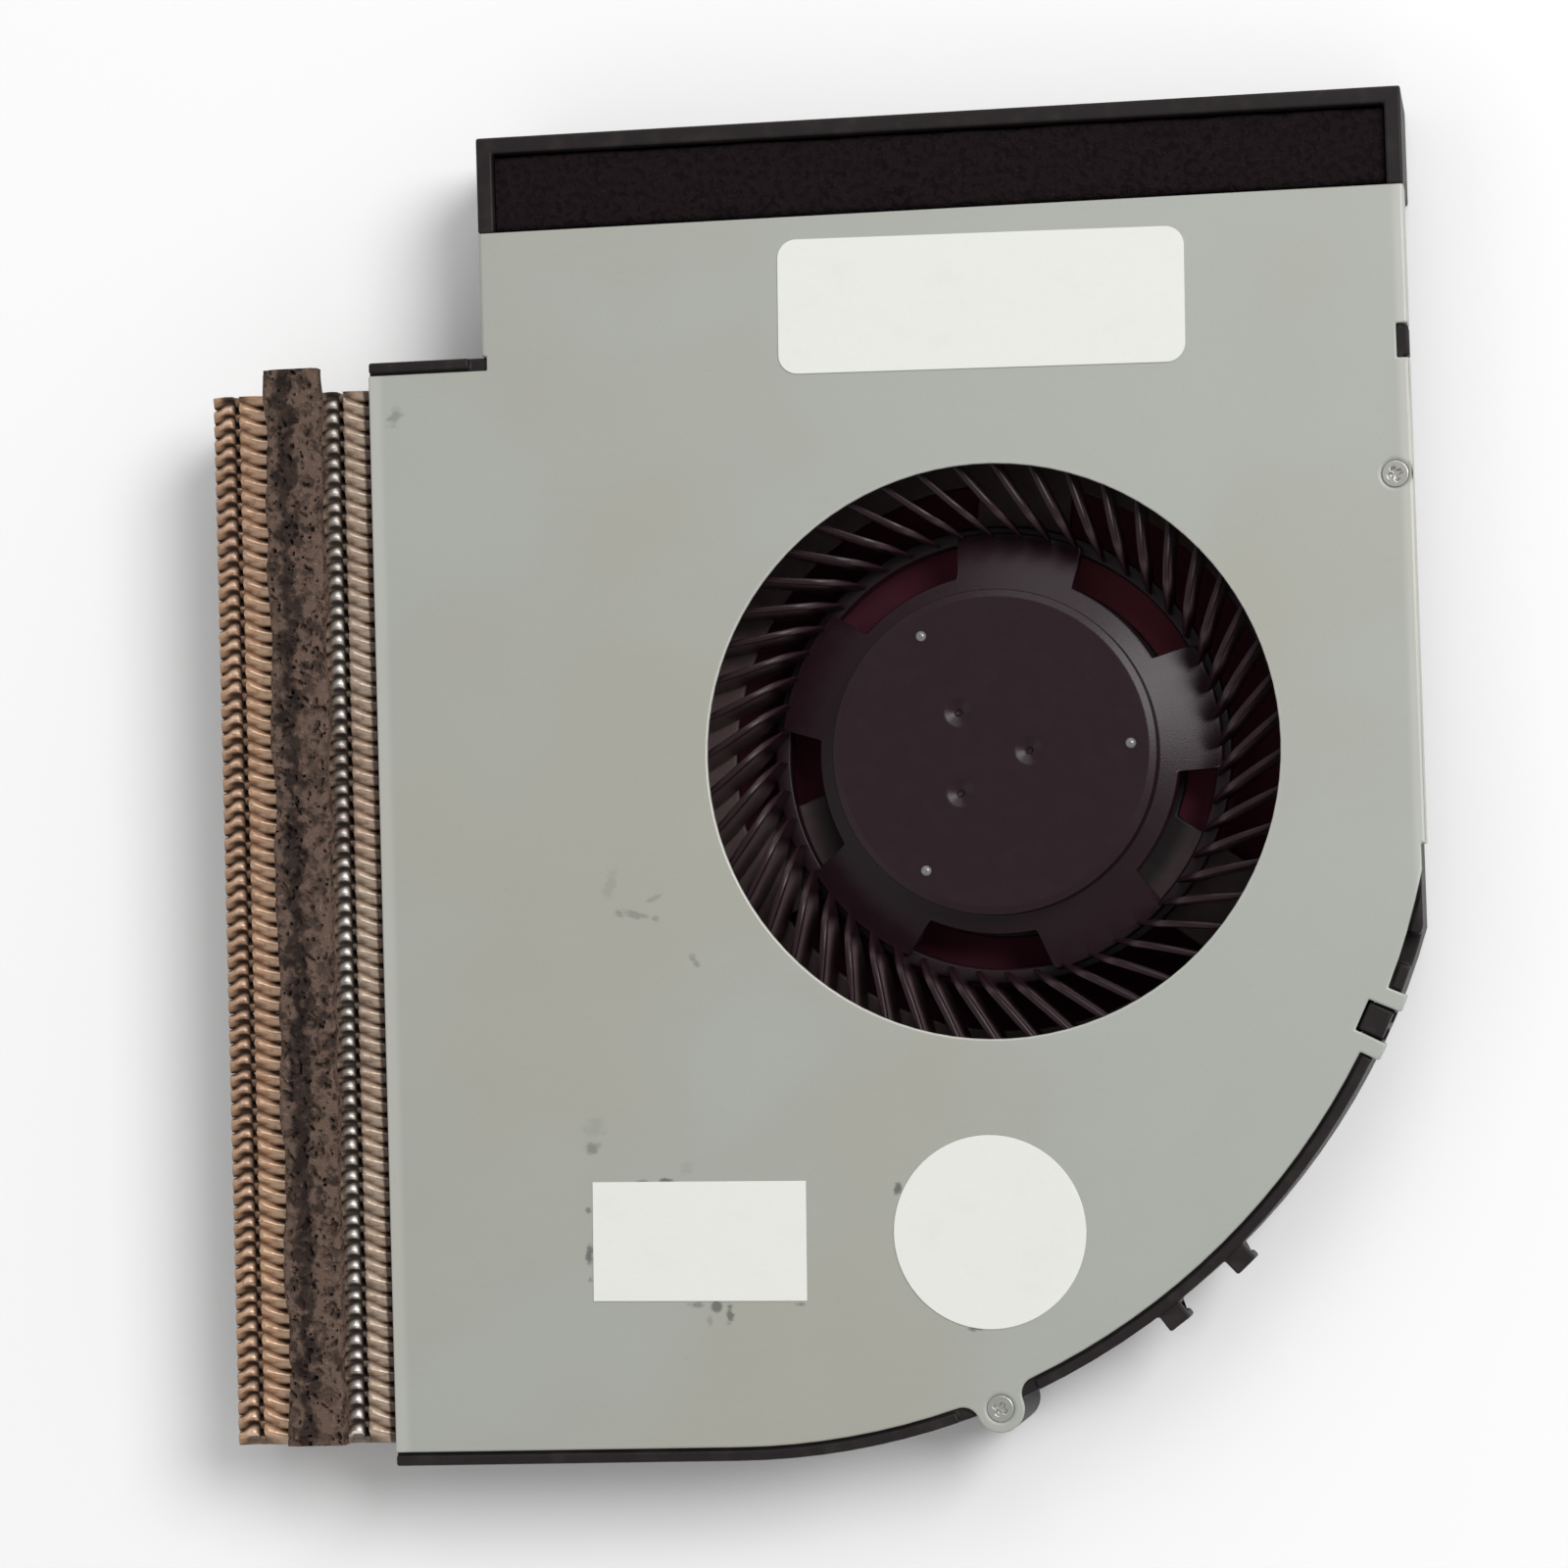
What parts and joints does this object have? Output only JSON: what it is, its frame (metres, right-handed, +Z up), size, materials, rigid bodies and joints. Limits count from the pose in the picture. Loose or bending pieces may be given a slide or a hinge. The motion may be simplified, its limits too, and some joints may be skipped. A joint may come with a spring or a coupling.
{
  "type": "laptop cooling fan heatsink",
  "caption": "Flat laptop blower with a stamped steel cover, black plastic scroll housing, spinning impeller and a copper fin stack across its outlet",
  "frame": {"origin": "on the impeller's axis, in the plane of the underside", "axes": "+X away from the fins, +Y towards the rear foam seal, +Z up to the cover"},
  "size_m": [0.0887, 0.0978, 0.0119],
  "materials": {
    "housing_plastic": "black moulded plastic with a fine grain",
    "cover_steel": "satin rolled steel sheet with smudges",
    "screw_steel": "plain steel",
    "fin_copper": "dulled copper sheet",
    "strip_foam": "porous dark grey foam",
    "seal_foam": "soft black foam",
    "label_paper": "white coated paper",
    "impeller_plastic": "dark grey moulded plastic with a soft sheen",
    "yoke_steel": "drawn steel",
    "magnet_ferrite": "dark bonded ferrite",
    "shaft_steel": "ground steel",
    "sleeve_bronze": "sintered bronze",
    "pad_plastic": "smooth pale plastic",
    "core_steel": "coated laminated steel",
    "coil_copper": "enamelled copper wire",
    "board_laminate": "green circuit board",
    "chip_plastic": "black moulded chip",
    "capacitor_ceramic": "tan ceramic"
  },
  "bodies": {
    "case": {"base_housing": "housing_plastic", "cover_plate": "cover_steel", "cover_screws": "screw_steel", "fin_stack": "fin_copper", "fin_foam_strip": "strip_foam", "rear_foam_seal": "seal_foam", "label_rounded": "label_paper", "label_rectangle": "label_paper", "label_round": "label_paper", "bearing_sleeve": "sleeve_bronze", "thrust_pad": "pad_plastic", "stator_core": "core_steel", "stator_coils": "coil_copper", "motor_board": "board_laminate", "driver_chip": "chip_plastic", "board_capacitors": "capacitor_ceramic"},
    "rotor": {"impeller": "impeller_plastic", "rotor_yoke": "yoke_steel", "magnet_ring": "magnet_ferrite", "shaft": "shaft_steel"}
  },
  "joints": [
    {"name": "impeller_spin", "type": "hinge", "parent": "case", "child": "rotor", "pos_m": [0, 0, 0], "axis": [0, 0, 1], "continuous": true}
  ]
}
